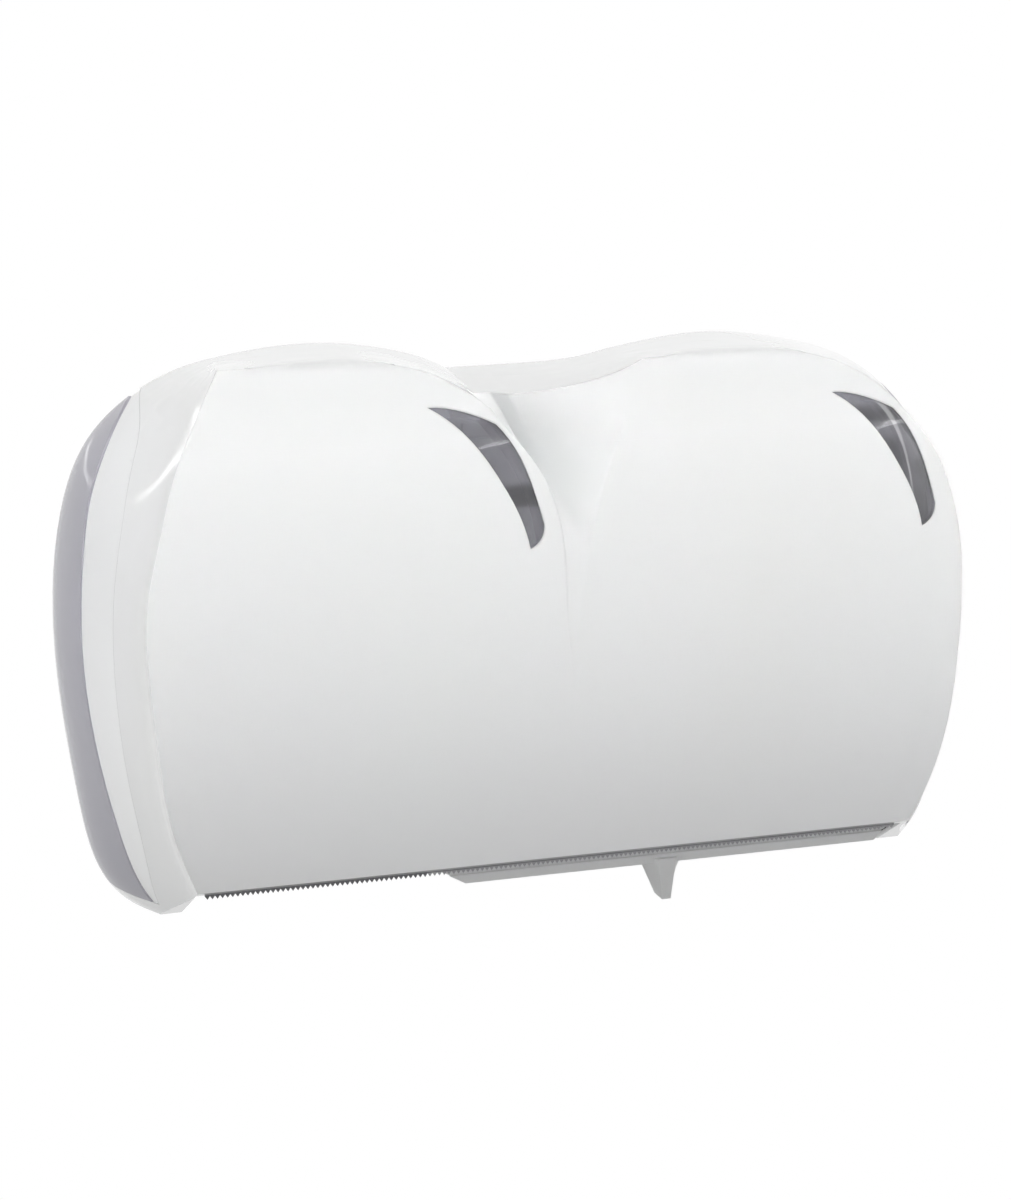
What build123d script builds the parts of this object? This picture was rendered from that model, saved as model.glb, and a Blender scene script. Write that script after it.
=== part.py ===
from build123d import *
import math
import os

os.makedirs("parts", exist_ok=True)

# The back of the housing lies on the wall plane, depth runs forward along minus Y,
# width along X and height along Z. The origin is the centre of the wall screw pattern.

# Overall form
half_width = 250.0
cover_depth = 119.0
wall_gap = 1.0
drum_pitch_share = 0.848
spindle_height_share = 0.160
drum_pitch = drum_pitch_share * half_width
spindle_height = spindle_height_share * half_width
cut_overrun = 12.0

# Wall thicknesses and clearances of the two cover layers
skin_wall = 2.4
layer_gap = 0.25
shell_wall = 2.2
facet_depth = 0.9
running_clearance = 0.4
seat_clearance = 0.1
window_clearance = 0.3
pin_clearance = 0.08

# Outlines of the closed housing at successive depths, as shares of half_width
wall_side_shares = [(-0.876, -0.580), (-0.900, -0.516), (-0.950, -0.376), (-0.988, -0.180),
                    (-1.000, 0.032), (-0.978, 0.232), (-0.914, 0.396), (-0.824, 0.484),
                    (-0.740, 0.530), (-0.648, 0.556)]
wall_crown_shares = [(-0.648, 0.556), (-0.540, 0.574), (-0.424, 0.580), (-0.296, 0.566),
                     (-0.204, 0.542), (-0.156, 0.520)]
wall_shelf_shares = [(-0.156, 0.520), (-0.080, 0.522), (0.000, 0.524), (0.104, 0.530), (0.200, 0.548)]
wall_right_shares = [(0.200, 0.548), (0.296, 0.566), (0.424, 0.580), (0.540, 0.574), (0.648, 0.556),
                     (0.740, 0.530), (0.824, 0.484), (0.914, 0.396), (0.978, 0.232), (1.000, 0.032),
                     (0.988, -0.180), (0.950, -0.376), (0.900, -0.516), (0.876, -0.580)]
middle_side_shares = [(-0.780, -0.580), (-0.860, -0.512), (-0.900, -0.376), (-0.924, -0.180),
                      (-0.930, 0.032), (-0.914, 0.200), (-0.862, 0.372), (-0.790, 0.468),
                      (-0.736, 0.524), (-0.684, 0.566)]
middle_crown_shares = [(-0.684, 0.566), (-0.556, 0.577), (-0.424, 0.580), (-0.308, 0.562),
                       (-0.220, 0.530), (-0.172, 0.504)]
middle_shelf_shares = [(-0.172, 0.504), (-0.100, 0.508), (0.000, 0.520), (0.088, 0.538), (0.160, 0.562)]
middle_right_shares = [(0.160, 0.562), (0.280, 0.576), (0.424, 0.580), (0.540, 0.570), (0.640, 0.538),
                       (0.730, 0.486), (0.804, 0.412), (0.862, 0.330), (0.908, 0.200), (0.930, 0.032),
                       (0.924, -0.180), (0.900, -0.376), (0.860, -0.512), (0.780, -0.580)]
front_side_shares = [(-0.700, -0.580), (-0.778, -0.436), (-0.832, -0.264), (-0.852, -0.080),
                     (-0.860, 0.050), (-0.854, 0.160), (-0.827, 0.272), (-0.792, 0.388),
                     (-0.760, 0.456), (-0.702, 0.576)]
front_crown_shares = [(-0.702, 0.576), (-0.560, 0.580), (-0.424, 0.580), (-0.300, 0.560),
                      (-0.216, 0.516), (-0.176, 0.486)]
front_shelf_shares = [(-0.176, 0.486), (-0.100, 0.500), (0.000, 0.520), (0.076, 0.544), (0.144, 0.572)]
front_right_shares = [(0.144, 0.572), (0.280, 0.580), (0.424, 0.580), (0.540, 0.560), (0.640, 0.512),
                      (0.716, 0.440), (0.776, 0.360), (0.810, 0.276), (0.830, 0.196), (0.842, 0.064),
                      (0.840, -0.080), (0.812, -0.284), (0.752, -0.436), (0.644, -0.580)]
outline_stations = [(0.000, [wall_side_shares, wall_crown_shares, wall_shelf_shares, wall_right_shares]),
                    (0.546, [middle_side_shares, middle_crown_shares, middle_shelf_shares, middle_right_shares]),
                    (0.960, [front_side_shares, front_crown_shares, front_shelf_shares, front_right_shares]),
                    (1.180, [front_side_shares, front_crown_shares, front_shelf_shares, front_right_shares])]

# Side profile, as (share of cover_depth, share of half_width)
front_profile_shares = [(0.958, -0.436), (0.992, -0.200), (1.000, 0.020), (0.996, 0.160), (0.982, 0.280),
                        (0.954, 0.388), (0.920, 0.460), (0.878, 0.524), (0.853, 0.556), (0.824, 0.573),
                        (0.782, 0.580), (0.700, 0.592)]
roof_profile_shares = [(0.700, 0.592), (0.600, 0.680), (-0.200, 0.680), (-0.200, -0.500),
                       (0.000, -0.520), (0.084, -0.548), (0.546, -0.548), (0.958, -0.436)]

# Rows of the notch between the drums: height, then (width, depth) of its corners,
# heights and widths as shares of half_width, depths as shares of cover_depth
notch_row_shares = [(0.680, (0.112, 0.815), (-0.112, 0.706), (-0.136, 0.622), (-0.184, 0.605)),
                    (0.496, (0.098, 0.895), (-0.112, 0.714), (-0.136, 0.630), (-0.180, 0.613)),
                    (0.416, (0.078, 0.941), (-0.072, 0.714), (-0.092, 0.647), (-0.120, 0.630)),
                    (0.344, (0.048, 0.966), (-0.036, 0.723), (-0.052, 0.672), (-0.072, 0.664)),
                    (0.240, (0.020, 0.986), (-0.014, 0.765), (-0.024, 0.740), (-0.040, 0.731)),
                    (0.136, (0.001, 0.997), (-0.018, 0.824), (-0.024, 0.807), (-0.033, 0.803)),
                    (0.024, (-0.012, 1.000), (-0.018, 0.908), (-0.021, 0.899), (-0.0245, 0.896)),
                    (-0.072, (-0.0155, 0.999), (-0.0170, 0.985), (-0.0185, 0.983), (-0.0210, 0.982))]
notch_reach_share = 1.300

# Window outline on the left drum, as shares of half_width
window_top_shares = [(-0.302, 0.494), (-0.250, 0.488), (-0.205, 0.474), (-0.168, 0.458)]
window_right_shares = [(-0.168, 0.458), (-0.118, 0.384), (-0.087, 0.294), (-0.078, 0.262)]
window_end_shares = [(-0.078, 0.262), (-0.084, 0.234), (-0.107, 0.214)]
window_left_shares = [(-0.107, 0.214), (-0.128, 0.281), (-0.162, 0.346), (-0.209, 0.416), (-0.302, 0.494)]
window_back_share = 0.780
window_side_steps = 8

# Side band and leaf facet in the side view, as (share of cover_depth, share of half_width)
band_edge_shares = [(0.000, 0.484), (0.180, 0.450), (0.320, 0.385), (0.366, 0.280), (0.390, 0.120),
                    (0.424, -0.060), (0.475, -0.250), (0.530, -0.390), (0.574, -0.514)]
leaf_edge_shares = [(0.000, 0.500), (0.330, 0.466), (0.513, 0.418), (0.626, 0.316), (0.656, 0.180),
                    (0.656, 0.000), (0.663, -0.200), (0.661, -0.400), (0.612, -0.514)]
side_foot_share = -0.514

# Paper mouth between the cheeks, half widths at the front, the cheek corner and the wall
# as shares of half_width
mouth_left_shares = (0.780, 0.788, 0.800)
mouth_right_shares = (0.744, 0.7784, 0.800)
mouth_height_share = -0.400
mouth_height = mouth_height_share * half_width
mouth_drop = 60.0
lip_width = 3.0
flank_share = 0.7784
front_edge_height = front_profile_shares[0][1] * half_width
mouth_front_depth = front_profile_shares[0][0] * cover_depth - skin_wall - layer_gap - shell_wall

# Serrated strip
tooth_pitch = 3.0
tooth_height = 1.8
strip_wall = 1.6
strip_top_rise = 12.0
strip_root_drop = 3.6
strip_left_share = -0.762
strip_right_share = 0.726
strip_top = front_edge_height + strip_top_rise
strip_root = front_edge_height - strip_root_drop
strip_left = strip_left_share * half_width
strip_right = strip_right_share * half_width
strip_front = running_clearance - mouth_front_depth

# Slider and its rail
rail_half_share = 0.720
rail_half = rail_half_share * half_width
rail_depth = 8.4
rail_top_rise = 17.0
rail_bottom_rise = 1.8
rail_top = front_edge_height + rail_top_rise
rail_bottom = front_edge_height + rail_bottom_rise
slot_head_height = 3.6
slot_head_width = 5.6
slot_neck_width = 2.8
slot_ceiling_rise = 13.0
slot_ceiling = front_edge_height + slot_ceiling_rise
bar_left_share = -0.310
bar_right_share = 0.728
bar_top_drop = 0.4
bar_bottom_drop = 12.0
bar_left = bar_left_share * half_width
bar_right = bar_right_share * half_width
bar_top = front_edge_height - bar_top_drop
bar_bottom = front_edge_height - bar_bottom_drop
bar_wall = 6.6
bar_left_run = 20.0
bar_right_run = 11.0
bar_step = 1.2
bar_step_height = 6.6
tab_centre_share = 0.204
tab_centre = tab_centre_share * half_width
tab_root = 26.0
tab_ridge_root = 10.0
tab_tip = 6.0
tab_ridge_tip = 5.0
tab_drop = 31.6
tab_bottom = front_edge_height - tab_drop
tab_wall = 7.6
tab_ridge_rise = 2.4
tab_root_bite = 3.0
shoe_length = 9.0
shoe_inset = 14.0
shoe_pair_gap = 0.2

# Wall plate
plate_inset = 11.0
plate_wall = 3.0
plate_flange_depth = 12.0
plate_flange_wall = 2.4
plate_cheek_floor_share = -0.416
plate_foot_half_share = 0.746
plate_foot_bottom_share = -0.524
plate_cheek_floor = plate_cheek_floor_share * half_width
plate_foot_half = plate_foot_half_share * half_width
plate_foot_bottom = plate_foot_bottom_share * half_width
rib_wall = 2.0
rib_depth = 7.0
rib_height_shares = (-0.344, -0.184, 0.360)
rib_span_share = 0.848
upright_half_shares = (0.12, 0.34, 0.62)
upright_bottom_share = -0.400
upright_top_share = 0.400
screw_spacing_x = 320.0
screw_spacing_z = 120.0
screw_slot_radius = 2.75
screw_slot_length = 5.0
screw_boss_radius = 9.0
screw_boss_depth = 6.0
screw_head_radius = 5.2
screw_head_depth = 2.6

# Spindle posts and rotating core holders
post_flange_radius = 27.0
post_flange_wall = 4.0
post_radius = 9.0
post_bore_radius = 6.0
post_length = 92.0
post_shoulder_radius = 12.0
post_root_fillet = 3.0
post_screw_circle = 20.0
post_screw_count = 3
post_screw_radius = 2.0
post_screw_head_radius = 3.6
post_screw_head_height = 2.4
post_screw_length = 9.0
post_screw_recess = 1.2
driver_recess_radius = 1.5
hub_sleeve_wall = 2.2
hub_running = 0.10
hub_start = 9.0
hub_end_play = 0.3
hub_length = post_length - hub_start - hub_end_play
hub_outer_radius = 21.0
hub_tip_radius = 19.0
hub_wall = 2.0
hub_fin_count = 6
hub_fin_wall = 2.0
hub_disc_radius = 34.0
hub_disc_wall = 2.4
cap_radius = 12.5
cap_wall = 3.0
cap_stem_radius = 5.9
cap_stem_length = 14.0
cap_dome = 2.0
brake_wall = 0.8
brake_width = 8.0
brake_foot_length = 14.0
brake_reach = 30.0
brake_offset = 44.0
brake_bend_shares = (0.34, 0.62)

# Hinge
hinge_depth = 20.0
hinge_height_share = -0.504
hinge_height = hinge_height_share * half_width
hinge_pin_radius = 2.5
hinge_eye_radius = 5.0
hinge_ear_share = 0.726
hinge_ear_inner = hinge_ear_share * half_width
hinge_ear_wall = 5.0
hinge_knuckle_gap = 1.2
hinge_knuckle_wall = 7.0
hinge_pin_head_radius = 3.8
hinge_pin_head_wall = 1.6

# Lock
lock_depth = 40.0
boss_radius = 14.0
boss_drop = 13.0
barrel_pocket_drop = 7.6
shelf_height = wall_shelf_shares[2][1] * half_width
boss_bottom = shelf_height - boss_drop
barrel_pocket_top = shelf_height - barrel_pocket_drop
barrel_radius = 9.0
barrel_bore_radius = 6.5
barrel_length = 34.4
barrel_flange_wall = 2.4
barrel_screw_circle = 11.4
barrel_screw_radius = 1.2
barrel_screw_length = 7.0
barrel_screw_head_radius = 2.2
barrel_screw_head_height = 1.4
plug_drop = 0.3
keyway_width = 2.4
keyway_length = 8.0
keyway_depth = 10.0
cam_wall = 2.4
cam_reach = 24.0
cam_width = 10.0
cam_root_radius = 8.0
cam_screw_radius = 2.0
cam_screw_length = 8.0
cam_screw_head_radius = 4.0
cam_screw_head_height = 2.4
keeper_wall = 2.4
keeper_width = 14.0
keeper_left = 13.0
keeper_drop = 4.0
keeper_lip_height = 10.0
keeper_lip_gap = 2.0
keeper_foot_height = 22.0
keeper_screw_radius = 1.8
keeper_screw_head_radius = 3.4
keeper_screw_head_height = 2.0
keeper_screw_length = 5.2
keeper_screw_drops = (6.0, 16.0)

drum_centre = drum_pitch / 2
front_reach = notch_reach_share * cover_depth


def inset_loop(points, inset):
    """Closed clockwise loop of points, each side moved inward by inset and mitred."""
    moved = []
    for index, (across, up) in enumerate(points):
        before = points[index - 1]
        after = points[(index + 1) % len(points)]
        arrive = Vector(across - before[0], up - before[1], 0).normalized()
        leave = Vector(after[0] - across, after[1] - up, 0).normalized()
        reach = inset / (1 + arrive.dot(leave))
        moved.append((across + reach * (arrive.Y + leave.Y), up - reach * (arrive.X + leave.X)))
    return moved


def split_loop(loop, chains):
    """The moved loop cut back into chains that share their end points."""
    pieces = []
    start = 0
    for chain in chains:
        stop = start + len(chain)
        pieces.append(loop[start:stop])
        start = stop - 1
    return pieces


def station_wire(depth_share, chains, inset):
    points = [point for chain in chains for point in chain[:-1]] + [chains[-1][-1]]
    points = [(across * half_width, up * half_width) for across, up in points]
    edges = []
    for piece in split_loop(inset_loop(points, inset), chains):
        edges.append(Edge.make_spline([Vector(x, -depth_share * cover_depth, z) for x, z in piece]))
    edges.append(Edge.make_line(edges[-1] @ 1, edges[0] @ 0))
    return Wire(edges)


def profile_block(inset):
    """Solid of the side profile, wider than the housing."""
    chains = [front_profile_shares, roof_profile_shares[:-1]]
    points = list(front_profile_shares) + list(roof_profile_shares[1:-1])
    points = [(-back * cover_depth, up * half_width) for back, up in points]
    front, roof = split_loop(inset_loop(points, inset), chains)
    curve = Edge.make_spline([Vector(-half_width - cut_overrun, y, z) for y, z in front])
    lines = Wire.make_polygon([Vector(-half_width - cut_overrun, y, z) for y, z in roof + front[:1]], close=False)
    face = Face(Wire([curve] + list(lines.edges())))
    return extrude(face, amount=half_width * 2 + cut_overrun * 2, dir=(1, 0, 0))


def notch_row(row, inset):
    """Corners of the notch at one height, grown outward by inset."""
    crease, lip, gully, wall = [(x * half_width, -back * cover_depth) for x, back in row[1:]]
    slope = (crease[0] - lip[0]) / (crease[1] - lip[1])
    far_crease = (lip[0] + slope * (-front_reach - lip[1]), -front_reach)
    shift = inset * math.hypot(1, slope)
    height = row[0] * half_width
    corners = [(far_crease[0] + shift, far_crease[1]), (lip[0] + inset, lip[1] + inset),
               (gully[0], gully[1] + inset), (wall[0] - inset, wall[1] + inset),
               (wall[0] - inset, -front_reach)]
    return Wire.make_polygon([Vector(x, y, height) for x, y in corners], close=True)


def notch_cutter(inset):
    rows = [notch_row(row, inset) for row in reversed(notch_row_shares)]
    return Solid.make_loft(rows)


def hull(inset):
    """Closed form of the housing, shrunk inward by inset."""
    stations = [station_wire(share, chains, inset) for share, chains in outline_stations]
    form = Solid.make_loft(stations)
    return form & profile_block(inset) - notch_cutter(inset)


def xz_prism(points, near, far):
    """Prism of a polygon in width and height, from depth near to depth far."""
    face = Face(Wire.make_polygon([Vector(x, -near, z) for x, z in points], close=True))
    return extrude(face, amount=far - near, dir=(0, -1, 0))


def yz_prism(points, left, right):
    face = Face(Wire.make_polygon([Vector(left, y, z) for y, z in points], close=True))
    return extrude(face, amount=right - left, dir=(1, 0, 0))


def block(x_low, x_high, y_low, y_high, z_low, z_high):
    size = Box(x_high - x_low, y_high - y_low, z_high - z_low, align=(Align.MIN, Align.MIN, Align.MIN))
    return Pos(x_low, y_low, z_low) * size


def rod_x(radius, left, right, y, z):
    rod = Cylinder(radius, right - left, align=(Align.CENTER, Align.CENTER, Align.MIN))
    return Pos(left, y, z) * Rot(0, 90, 0) * rod


def rod_y(radius, x, z, near, far):
    """Cylinder along the depth, from depth near to depth far."""
    rod = Cylinder(radius, far - near, align=(Align.CENTER, Align.CENTER, Align.MIN))
    return Pos(x, -near, z) * Rot(90, 0, 0) * rod


def rod_z(radius, x, y, low, high):
    return Pos(x, y, low) * Cylinder(radius, high - low, align=(Align.CENTER, Align.CENTER, Align.MIN))


def window_sides():
    """Fine points along the smooth sides of the left window, one list for each side."""
    sides = []
    for shares in (window_top_shares, window_right_shares, window_end_shares, window_left_shares):
        curve = Edge.make_spline([Vector(x * half_width, 0, z * half_width) for x, z in shares])
        spots = [curve @ (step / window_side_steps) for step in range(window_side_steps + 1)]
        sides.append([(spot.X, spot.Z) for spot in spots])
    return sides


def window_prism(shift, clearance):
    """Window opening of one drum, shrunk by clearance."""
    sides = window_sides()
    loop = inset_loop([point for side in sides for point in side[:-1]], clearance)
    edges = []
    for piece in split_loop(loop + loop[:1], sides):
        edges.append(Edge.make_spline([Vector(x + shift, -window_back_share * cover_depth, z) for x, z in piece]))
    return extrude(Face(Wire(edges)), amount=front_reach, dir=(0, -1, 0))


def side_prism(edge_shares, clearance):
    """Prism behind a curved edge of the side view, through both sides of the housing."""
    outline = [(-depth * cover_depth, up * half_width) for depth, up in edge_shares]
    outline = inset_loop([(0, side_foot_share * half_width)] + outline[::-1], clearance)
    spots = [Vector(-half_width - cut_overrun, y, z) for y, z in outline]
    edge = Edge.make_spline(spots[1:])
    foot = [Edge.make_line(spots[-1], spots[0]), Edge.make_line(spots[0], spots[1])]
    return extrude(Face(Wire([edge] + foot)), amount=half_width * 2 + cut_overrun * 2, dir=(1, 0, 0))


def mouth_side(shares, lip):
    """Corners of one side of the mouth from the wall forward, as (half width, Y)."""
    front, corner, rear = [share * half_width - lip for share in shares]
    corner_depth = outline_stations[1][0] * cover_depth
    return [(rear, cut_overrun), (rear, 0), (corner, -corner_depth), (front, -mouth_front_depth)]


def mouth_prism(lip):
    """Open floor between the cheeks, narrowed by lip on each side."""
    left = [(-x, y) for x, y in mouth_side(mouth_left_shares, lip)]
    points = mouth_side(mouth_right_shares, lip) + left[::-1]
    face = Face(Wire.make_polygon([Vector(x, y, mouth_height - mouth_drop) for x, y in points], close=True))
    return extrude(face, amount=mouth_drop, dir=(0, 0, 1))


def beyond_flank(side):
    """Block that keeps the side bands to the flanks of the housing."""
    inner = flank_share * half_width
    low = min(side * inner, side * (half_width + cut_overrun))
    high = max(side * inner, side * (half_width + cut_overrun))
    return block(low, high, -cover_depth, cut_overrun, -half_width, half_width)


def flank_blocks():
    return beyond_flank(1) + beyond_flank(-1)


def behind_wall_gap():
    return block(-half_width - cut_overrun, half_width + cut_overrun, -wall_gap, front_reach,
                 -half_width, half_width)


def hinge_eye_shape(left, right, radius):
    return rod_x(radius, left, right, -hinge_depth, hinge_height)


def make_cover_skin(outer, inner):
    skin = outer - inner - behind_wall_gap() - mouth_prism(0)
    for shift in (0, drum_pitch):
        skin -= window_prism(shift, 0)
    band = side_prism(band_edge_shares, 0) & flank_blocks()
    leaf = side_prism(leaf_edge_shares, 0) & flank_blocks()
    return skin - band - (leaf - hull(facet_depth)) - key_slot()


def lining_pads(outer, middle):
    """Raised parts of the lining that fill the windows and the side bands."""
    layer = outer - middle
    pads = [layer & window_prism(shift, window_clearance) for shift in (0, drum_pitch)]
    band = side_prism(band_edge_shares, seat_clearance)
    return pads + [layer & band & beyond_flank(side) for side in (-1, 1)]


def lock_boss(middle):
    """Boss under the shelf, rising halfway into the lining."""
    boss = rod_z(boss_radius, 0, -lock_depth, boss_bottom, half_width) & middle
    return boss - rod_z(barrel_radius + seat_clearance, 0, -lock_depth, 0, barrel_pocket_top + seat_clearance)


def key_slot():
    half = keyway_width / 2 + running_clearance
    return block(-half, half, -lock_depth - keyway_length / 2, -lock_depth + keyway_length / 2,
                 boss_bottom, half_width)


def make_cover_shell(outer, bed, middle, inner):
    """Smoked lining, flush with the skin in the windows and in the side bands."""
    shell = bed - inner
    for pad in lining_pads(outer, middle):
        shell += pad
    shell = shell - behind_wall_gap() - mouth_prism(lip_width) + lock_boss(middle)
    for x, y in barrel_screw_spots():
        shell -= rod_z(barrel_screw_radius, x, y, boss_bottom - cut_overrun,
                       boss_bottom - barrel_flange_wall + barrel_screw_length)
    return shell - key_slot() + knuckle(1) + knuckle(-1)


def knuckle(side):
    """Hinge knuckle on the cheek floor, bored for the pin."""
    left, right = sorted((side * knuckle_inner, side * (knuckle_inner + hinge_knuckle_wall)))
    floor_top = roof_profile_shares[-2][1] * half_width + skin_wall + layer_gap
    body = hinge_eye_shape(left, right, hinge_eye_radius)
    body += block(left, right, -hinge_depth - hinge_eye_radius, -hinge_depth + hinge_eye_radius,
                  floor_top + seat_clearance, hinge_height)
    return body - hinge_eye_shape(left - cut_overrun, right + cut_overrun, hinge_pin_radius + pin_clearance)


knuckle_inner = hinge_ear_inner + hinge_ear_wall + hinge_knuckle_gap + lip_width * 2


def make_tear_edge():
    """Strip with pointed teeth along the front of the mouth."""
    count = int((strip_right - strip_left) / tooth_pitch)
    points = [(strip_left, strip_top), (strip_right, strip_top)]
    for index in range(count):
        x = strip_right - index * tooth_pitch
        points.append((x, strip_root))
        points.append((x - tooth_pitch / 2, strip_root - tooth_height))
    points.append((strip_left, strip_root))
    return xz_prism(points, -strip_front - strip_wall, -strip_front)


rail_back = strip_front + strip_wall + seat_clearance
slot_centre = rail_back + rail_depth / 2


def make_slider_rail():
    rail = block(-rail_half, rail_half, rail_back, rail_back + rail_depth, rail_bottom, rail_top)
    neck = slot_neck_width / 2 + running_clearance
    head = slot_head_width / 2 + running_clearance
    rail -= block(-rail_half - cut_overrun, rail_half + cut_overrun, slot_centre - neck, slot_centre + neck,
                  rail_bottom - cut_overrun, slot_ceiling)
    return rail - block(-rail_half - cut_overrun, rail_half + cut_overrun, slot_centre - head,
                        slot_centre + head, slot_ceiling - slot_head_height - running_clearance * 2, slot_ceiling)


def make_selector_bar():
    """Sliding bar with sloped ends, a stepped face and a thumb tab."""
    front = rail_back + seat_clearance
    outline = [(bar_left, bar_top), (bar_right, bar_top), (bar_right - bar_right_run, bar_bottom),
               (bar_left + bar_left_run, bar_bottom)]
    bar = xz_prism(outline, -front - bar_wall, -front)
    bar -= block(bar_left - cut_overrun, bar_right + cut_overrun, front, front + bar_step,
                 bar_top - bar_step_height, bar_top)
    return bar + thumb_tab(front) + neck_strip(bar_left + bar_left_run, bar_right - bar_right_run)


def tab_section(root, tip, y):
    """Outline of the thumb tab at one depth, its root inside the bar."""
    root_height = bar_bottom + tab_root_bite
    corners = [(-root / 2, root_height), (root / 2, root_height), (tip / 2, tab_bottom), (-tip / 2, tab_bottom)]
    return Wire.make_polygon([Vector(tab_centre + x, y, z) for x, z in corners], close=True)


def thumb_tab(front):
    """Tab that narrows forward to a ridge."""
    rear = tab_section(tab_root, tab_tip, front + tab_wall)
    ridge = tab_section(tab_ridge_root, tab_ridge_tip, front - tab_ridge_rise)
    return Solid.make_loft([rear, ridge], ruled=True)


def neck_strip(left, right):
    neck = slot_neck_width / 2
    return block(left, right, slot_centre - neck, slot_centre + neck, bar_top, slot_ceiling - slot_head_height)


def make_glide_shoes():
    """Two shoes clipped on the neck of the bar, running in the rail."""
    shoes = Part()
    head = slot_head_width / 2
    low = slot_ceiling - slot_head_height - running_clearance
    for left in (bar_left + bar_left_run + shoe_inset, bar_right - bar_right_run - shoe_inset - shoe_length):
        shoes += block(left, left + shoe_length, slot_centre - head, slot_centre + head,
                       low + shoe_pair_gap, slot_ceiling - running_clearance)
    return shoes - neck_strip(bar_left, bar_right)


def plate_outline():
    """Outline of the plate, an inset of the wall outline above the cheeks."""
    chains = outline_stations[0][1]
    points = [point for chain in chains for point in chain[:-1]] + [chains[-1][-1]]
    points = [(x * half_width, z * half_width) for x, z in points]
    return [point for point in inset_loop(points, plate_inset) if point[1] > plate_cheek_floor]


def plate_prism(inset, near, far):
    points = inset_loop(plate_outline(), inset) if inset > 0 else plate_outline()
    left, right = points[0], points[-1]
    edge = Edge.make_spline([Vector(x, -near, z) for x, z in points])
    floor = plate_cheek_floor + inset
    close = Wire.make_polygon([Vector(right[0], -near, right[1]), Vector(right[0], -near, floor),
                               Vector(left[0], -near, floor), Vector(left[0], -near, left[1])], close=False)
    prism = extrude(Face(Wire([edge] + list(close.edges()))), amount=far - near, dir=(0, -1, 0))
    foot = plate_foot_half - inset
    return prism + block(-foot, foot, -far, -near, plate_foot_bottom + inset, plate_cheek_floor + plate_inset)


def screw_slot(x, z, near, far, radius):
    """Level slot for a wall screw."""
    half = screw_slot_length / 2
    slot = rod_y(radius, x - half, z, near, far) + rod_y(radius, x + half, z, near, far)
    return slot + block(x - half, x + half, -far, -near, z - radius, z + radius)


def make_wall_plate():
    plate = plate_prism(0, 0, plate_flange_depth)
    plate -= plate_prism(plate_flange_wall, plate_wall, plate_flange_depth + cut_overrun)
    span = rib_span_share * half_width
    for share in rib_height_shares:
        height = share * half_width
        plate += block(-span, span, -rib_depth, -plate_wall, height, height + rib_wall)
    for share in upright_half_shares:
        for side in (-1, 1):
            centre = side * share * half_width
            plate += block(centre - rib_wall / 2, centre + rib_wall / 2, -rib_depth, -plate_wall,
                           upright_bottom_share * half_width, upright_top_share * half_width)
    for x in (-drum_centre, drum_centre):
        plate += rod_y(post_flange_radius, x, spindle_height, plate_wall, rib_depth)
        for angle in screw_angles():
            sx, sz = screw_spot(x, angle)
            plate -= rod_y(post_screw_radius, sx, sz, plate_wall, rib_depth + cut_overrun)
    for x, z in wall_screw_spots():
        plate += rod_y(screw_boss_radius, x, z, plate_wall, screw_boss_depth)
        plate -= screw_slot(x, z, -cut_overrun, screw_boss_depth + cut_overrun, screw_slot_radius)
        plate -= screw_slot(x, z, screw_boss_depth - screw_head_depth, screw_boss_depth + cut_overrun,
                            screw_head_radius)
    for z in keeper_screw_heights():
        plate -= rod_y(keeper_screw_radius, keeper_centre, z, -cut_overrun, plate_wall + cut_overrun)
    return plate + hinge_ear(1) + hinge_ear(-1)


def wall_screw_spots():
    half_x = screw_spacing_x / 2
    half_z = screw_spacing_z / 2
    return [(x, z) for x in (-half_x, half_x) for z in (-half_z, half_z)]


def hinge_ear(side):
    """Ear at the foot of the plate, bored for the hinge pin."""
    left, right = sorted((side * hinge_ear_inner, side * (hinge_ear_inner + hinge_ear_wall)))
    ear = hinge_eye_shape(left, right, hinge_eye_radius)
    ear += block(left, right, -hinge_depth, -plate_wall, hinge_height - hinge_eye_radius,
                 hinge_height + hinge_eye_radius)
    return ear - hinge_eye_shape(left - cut_overrun, right + cut_overrun, hinge_pin_radius)


def make_hinge_pin(side):
    start = side * hinge_ear_inner
    end = side * (knuckle_inner + hinge_knuckle_wall)
    left, right = sorted((start, end))
    pin = hinge_eye_shape(left, right, hinge_pin_radius)
    head = sorted((start, start - side * hinge_pin_head_wall))
    return pin + hinge_eye_shape(head[0], head[1], hinge_pin_head_radius)


def screw_angles():
    return [90 + index * 360 / post_screw_count for index in range(post_screw_count)]


def screw_spot(x, angle):
    turn = math.radians(angle)
    return x + post_screw_circle * math.cos(turn), spindle_height + post_screw_circle * math.sin(turn)


def make_spindle_post(x):
    """Hollow post with a screwed flange, standing on its boss of the plate."""
    start = rib_depth
    post = rod_y(post_flange_radius, x, spindle_height, start, start + post_flange_wall)
    post += rod_y(post_shoulder_radius, x, spindle_height, start, start + hub_start - hub_end_play)
    post += rod_y(post_radius, x, spindle_height, start, start + post_length)
    corner = post.edges().filter_by(GeomType.CIRCLE).filter_by(lambda e: abs(e.radius - post_shoulder_radius) < layer_gap)
    corner = corner.filter_by(lambda e: abs(e.center().Y + start + post_flange_wall) < layer_gap)
    post = fillet(corner, post_root_fillet)
    post -= rod_y(post_bore_radius, x, spindle_height, start + post_length - cap_stem_length - cut_overrun,
                  start + post_length + cut_overrun)
    for angle in screw_angles():
        sx, sz = screw_spot(x, angle)
        post -= rod_y(post_screw_radius + pin_clearance, sx, sz, start - cut_overrun, start + cut_overrun)
        post -= rod_y(post_screw_head_radius + pin_clearance, sx, sz,
                      start + post_flange_wall - post_screw_recess, start + cut_overrun)
    return post


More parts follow.
